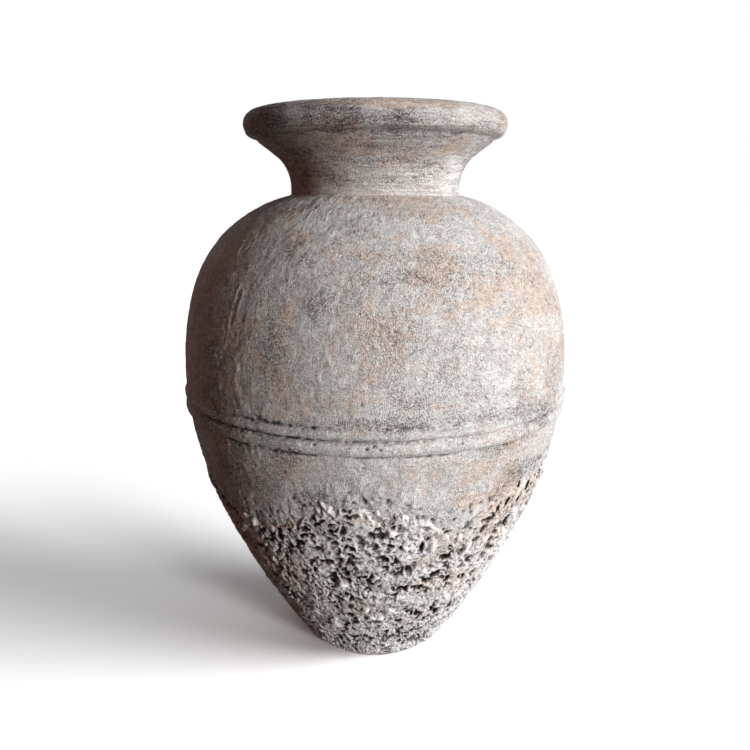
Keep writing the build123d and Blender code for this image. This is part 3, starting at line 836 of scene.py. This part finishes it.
# Limewashed earthenware: low-fired sandy clay, brushed with lime wash that has worn thin. It gives a dry,
# chalky grey skin, gritty and finely crazed, with a blush of clay where it is worn, a warm tint painted on
# its shaded left side, and dirt and painted shade in the pits and creases.
wallFinish = dict(
    painted=("scab", "dirtAndShade", "bareClayAndWarmShade", "paleWash", "crackleAndShade", "inside"),      # fields that the meshes carry
    tones=[(0, "#463c3b"), (0.3, "#8e8483"), (0.55, "#bdb5b2"), (0.78, "#dbd8d6"), (1, "#f4f3f3")],
    # the darkest colour is laid in pits, crevices and along the left side of scars: dirt, and painted shade
    blush="#f6e6db", crazed="#40383a", dirtAndShade="#191513", bare="#c39c80",
    tints=dict(blush="blush", bare="inside"),       # which field lays each clay colour on
    # pattern sizes in mm, then detail and roughness. Real grit of 0.3 mm is drawn at 0.8 mm to show.
    patterns=dict(
        broad=dict(cloud=(30, 4, 0.6), flake=(11, 8, 0.66), fleck=(4.2, 4, 0.7), vein=(5.5, 5, 0.7),
                   drift=(60, 3, 0.6)),
        gritty=dict(grain=(0.8, 1, 0.6)),
        brushed=dict(stroke=(1.9, 3, 0.65)),        # hairs of the brush, drawn out level
    ),
    stretch=dict(broad=(0.78, 0.78, 1.25), gritty=(1, 1, 1), brushed=(0.15, 0.15, 1)),
    cells=dict(pebble=1.7, speck=3.2),
    # weighted sums of patterns and painted fields: start, shares, then a soft step: from, to, ends' values
    sums=dict(
        island=(0, dict(flake=1), (0.46, 0.54, 0, 1)),
        blush=(0.04, dict(cloud=0.35, flake=0.8, fleck=-0.3, bareClayAndWarmShade=0.34, paleWash=-0.12),
               (0.48, 0.68, 0, 1)),
        rough=(0, dict(drift=0.9, cloud=0.4, crackleAndShade=0.35, paleWash=-0.25), (0.5, 0.85, 0.85, 1.8)),
        craze=(0, dict(drift=0.9, cloud=0.4, crackleAndShade=0.6, paleWash=-0.25), (0.64, 1.1, 0, 1)),
        fine=(-0.53, dict(fleck=0.6, grain=0.86, pebble=-0.34)),
        wash=(0.37, dict(cloud=0.17, island=0.1, fine=1, scab=0.1, paleWash=0.1, crackleAndShade=-0.09, blush=0.03,
                         stroke=0.26)),
        rise=(0, dict(island=0.25, fine=1, stroke=0.35)),
    ),
    gains=dict(fine="rough"),       # the grit stands out more in some places than in others
    crackLine=(0.035, 0), pore=(0.26, 0.14), crackleAndShade=0.8, crackSink=-0.35, riseMm=1.1, roughness=0.93,
)
# Brushed rim: the same clay and wash, smoothed wet and brushed on the turn, so its marks run level round it.
rimFinish = dict(
    wallFinish, stretch=dict(wallFinish["stretch"], broad=(0.4, 0.4, 2.5)),
    sums=dict(wallFinish["sums"], fine=(-0.66, dict(fleck=0.74, grain=0.98, pebble=-0.37)),
              wash=(0.245, dict(wallFinish["sums"]["wash"][1], crackleAndShade=-0.16))),
)
# Pitted lime and clay crust: grit and lime thrown on wet and left rough. It gives pale knobs and thin ridges
# round deep pits; the pits are painted dark as shade with some dirt, and the ridges paler, partly as painted
# light on their crests.
crustFinish = dict(
    painted=("pit", "ridge", "nodule", "bareClayAndWarmShade"),
    tones=[(0, "#141110"), (0.25, "#484240"), (0.5, "#989190"), (0.75, "#d2cdcc"), (1, "#f5f2f2")],
    blush="#f0dccb", tints=dict(blush="bareClayAndWarmShade"),
    patterns=dict(gritty=dict(crumb=(2.6, 3, 0.75), grain=(1, 1, 0.6))), stretch=dict(gritty=(1, 1, 1)),
    sums=dict(
        # pits darken the wash as painted shade with some dirt; ridges lighten it, partly as painted light on
        # their crests
        wash=(0.06, dict(crumb=0.62, grain=0.62, ridge=0.23, nodule=0.18, pit=-1)),
        rise=(0, dict(crumb=0.9, grain=0.5)),
    ),
    cells={}, gains={}, riseMm=0.9, roughness=0.94,
)


def crazing(tree, field, plan):
    # thin dark lines and pores where the wash has crazed
    away = addNode(tree, "ShaderNodeMath", {0: field["vein"], 1: 0.5}, operation="SUBTRACT").outputs[0]
    away = addNode(tree, "ShaderNodeMath", {0: away}, operation="ABSOLUTE").outputs[0]
    mark = 0.0
    for value, (wide, narrow) in ((away, plan["crackLine"]), (field["speck"], plan["pore"])):
        spot = addNode(tree, "ShaderNodeMapRange", {"Value": value, "From Min": wide, "From Max": narrow})
        mark = addNode(tree, "ShaderNodeMath", {0: spot.outputs[0], 1: mark}, operation="MAXIMUM").outputs[0]
    for share in (field["craze"], plan["crackleAndShade"]):
        mark = addNode(tree, "ShaderNodeMath", {0: mark, 1: share}, operation="MULTIPLY").outputs[0]
    return mark


def weatheredClay(name, plan):
    material, tree = newShading(bpy.data.materials, name)
    place = addNode(tree, "ShaderNodeTexCoord").outputs["Object"]
    field = {key: addNode(tree, "ShaderNodeAttribute", attribute_name=key).outputs["Fac"]
             for key in plan["painted"]}
    for group, patterns in plan["patterns"].items():
        drawn = addNode(tree, "ShaderNodeMapping",
                        {"Vector": place, "Scale": plan["stretch"][group]}).outputs["Vector"]
        for key, (size, detail, roughness) in patterns.items():
            noise = {"Vector": drawn, "Scale": 1 / (size * mm), "Detail": detail, "Roughness": roughness}
            field[key] = addNode(tree, "ShaderNodeTexNoise", noise).outputs["Fac"]
    for key, size in plan["cells"].items():
        pebbles = {"Vector": place, "Scale": 1 / (size * mm)}
        field[key] = addNode(tree, "ShaderNodeTexVoronoi", pebbles).outputs["Distance"]
    for key, (level, shares, *step) in plan["sums"].items():
        for part, share in shares.items():
            level = addNode(tree, "ShaderNodeMath", {0: field[part], 1: share, 2: level},
                            operation="MULTIPLY_ADD").outputs[0]
        for low, high, least, most in step:
            ends = {"Value": level, "From Min": low, "From Max": high, "To Min": least, "To Max": most}
            level = addNode(tree, "ShaderNodeMapRange", ends,
                            interpolation_type="SMOOTHSTEP").outputs["Result"]
        if key in plan["gains"]:
            gain = field[plan["gains"][key]]
            level = addNode(tree, "ShaderNodeMath", {0: level, 1: gain}, operation="MULTIPLY").outputs[0]
        field[key] = level
    ramp = addNode(tree, "ShaderNodeValToRGB", {"Fac": field["wash"]})
    for index, (position, hexCode) in enumerate(plan["tones"]):
        stop = ramp.color_ramp.elements[index] if index < 2 else ramp.color_ramp.elements.new(position)
        stop.position, stop.color = position, linearColour(hexCode)
    layers = [(key, field[cover], "MULTIPLY") for key, cover in plan["tints"].items()]
    rise = field["rise"]
    if "crazed" in plan:
        mark = crazing(tree, field, plan)
        # crazed lines, then the dark of dirt and painted shade
        layers += [("crazed", mark, "MIX"), ("dirtAndShade", field["dirtAndShade"], "MIX")]
        rise = addNode(tree, "ShaderNodeMath", {0: mark, 1: plan["crackSink"], 2: rise},
                       operation="MULTIPLY_ADD").outputs[0]
    colour = ramp.outputs["Color"]
    for key, cover, blend in layers:
        colour = addNode(tree, "ShaderNodeMix", {"Factor": cover, "A": colour, "B": linearColour(plan[key])},
                         data_type="RGBA", blend_type=blend).outputs["Result"]
    bump = addNode(tree, "ShaderNodeBump", {"Strength": 1.0, "Distance": plan["riseMm"] * mm, "Height": rise})
    surface = {"Base Color": colour, "Roughness": plan["roughness"], "Specular IOR Level": 0.2,
               "Normal": bump.outputs["Normal"]}
    shader = addNode(tree, "ShaderNodeBsdfPrincipled", surface)
    addNode(tree, "ShaderNodeOutputMaterial", {"Surface": shader.outputs["BSDF"]})
    return material


wallMaterial = weatheredClay("limewashedEarthenware", wallFinish)
rimMaterial = weatheredClay("brushedLimewashedRim", rimFinish)
cordonMaterial = weatheredClay("pressedLimewashedCordon", wallFinish)       # rolled clay under the same wash
crustMaterial = weatheredClay("pittedLimeCrust", crustFinish)


def settle(piece, node, material):
    piece.data.materials.append(material)
    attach(piece, "root")
    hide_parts(node)


for pieces, slot, material in (
    (wallPieces, "wall_clay", wallMaterial), (rimPieces, "rim_clay", rimMaterial),
    (slipPieces, "joint_slip", wallMaterial), (cordonPieces, "cordon_clay", cordonMaterial),
    (dict(crust_coat=crustPiece), "crust_clay", crustMaterial),
):
    for node, piece in pieces.items():
        settle(piece, node, rimMaterial if node == "rim_joint_slip" else material)
print("materials on")

# Stage: pale floor, a soft window at the right, a low fill from the front right, weak returns, and the camera
stagePlan = dict(
    floorHalf=30, floor="#404040", floorShown=3.3, worldLight=0.006,
    # each lamp: strength, apparent size, angle from the front towards the right, and rise, in degrees, colour
    lamps=dict(windowKey=(2.55, 31, 77, 15, "#ffffff"), lowFill=(4.95, 15, 46, 0.6, "#ffffff"),
               ceiling=(0.21, 90, 0, 88, "#fafcff"), backLight=(0.12, 60, 180, 30, "#ffffff"),
               warmReturn=(0.26, 14, -75, 0, "#ff8854")),
)


def seenRays(tree):
    # 1 for what the camera sees, also in a reflection or through glass
    path = addNode(tree, "ShaderNodeLightPath")
    seen = path.outputs["Is Camera Ray"]
    for kind in ("Is Glossy Ray", "Is Transmission Ray"):
        seen = addNode(tree, "ShaderNodeMath", {0: seen, 1: path.outputs[kind]},
                       operation="MAXIMUM").outputs[0]
    return seen


def layFloor():
    half = stagePlan["floorHalf"]
    mesh = bpy.data.meshes.new("studioFloor")
    mesh.from_pydata([(-half, -half, 0), (half, -half, 0), (half, half, 0), (-half, half, 0)],
                     [], [(0, 1, 2, 3)])
    floor = newObject("studioFloor", mesh)
    material, tree = newShading(bpy.data.materials, "paintedStudioFloor")
    shown = [stagePlan["floorShown"]] * 3 + [1.0]       # pale to the camera, to meet the white background
    paints = {"Factor": seenRays(tree), "A": linearColour(stagePlan["floor"]), "B": shown}
    colour = addNode(tree, "ShaderNodeMix", paints, data_type="RGBA").outputs["Result"]
    shader = addNode(tree, "ShaderNodeBsdfDiffuse", {"Color": colour})
    addNode(tree, "ShaderNodeOutputMaterial", {"Surface": shader.outputs["BSDF"]})
    mesh.materials.append(material)


def lightStage():
    for name, (strength, size, turn, rise, hexCode) in stagePlan["lamps"].items():
        data = bpy.data.lights.new(name, "SUN")
        data.energy = strength
        data.color = linearColour(hexCode)[:3]
        data.angle = math.radians(size)
        newObject(name, data).rotation_euler = math.radians(90 - rise), 0, math.radians(turn)
    world, tree = newShading(bpy.data.worlds, "studioWorld")
    shares = {"Factor": seenRays(tree), "A": stagePlan["worldLight"], "B": 1.0}
    strength = addNode(tree, "ShaderNodeMix", shares, data_type="FLOAT").outputs["Result"]
    sky = addNode(tree, "ShaderNodeBackground", {"Color": (1, 1, 1, 1), "Strength": strength})
    addNode(tree, "ShaderNodeOutputWorld", {"Surface": sky.outputs["Background"]})
    bpy.context.scene.world = world


# the photograph's view, worked back from the rim's and base's ellipses
cameraPlan = dict(focalPixels=741.1, imagePixels=750, pitch=13.39, distance=741.2, height=457.0, aside=-0.2,
                  sensor=36.0)


def setCamera():
    plan = cameraPlan
    data = bpy.data.cameras.new("photoCamera")
    data.sensor_width = plan["sensor"]
    data.lens = plan["sensor"] * plan["focalPixels"] / plan["imagePixels"]
    camera = newObject("photoCamera", data)
    camera.location = (plan["aside"] * mm, -plan["distance"] * mm, plan["height"] * mm)
    camera.rotation_euler = (math.radians(90 - plan["pitch"]), 0, 0)
    bpy.context.scene.camera = camera


layFloor()
lightStage()
setCamera()
bpy.context.scene.view_settings.view_transform = "Standard"
print("stage set")
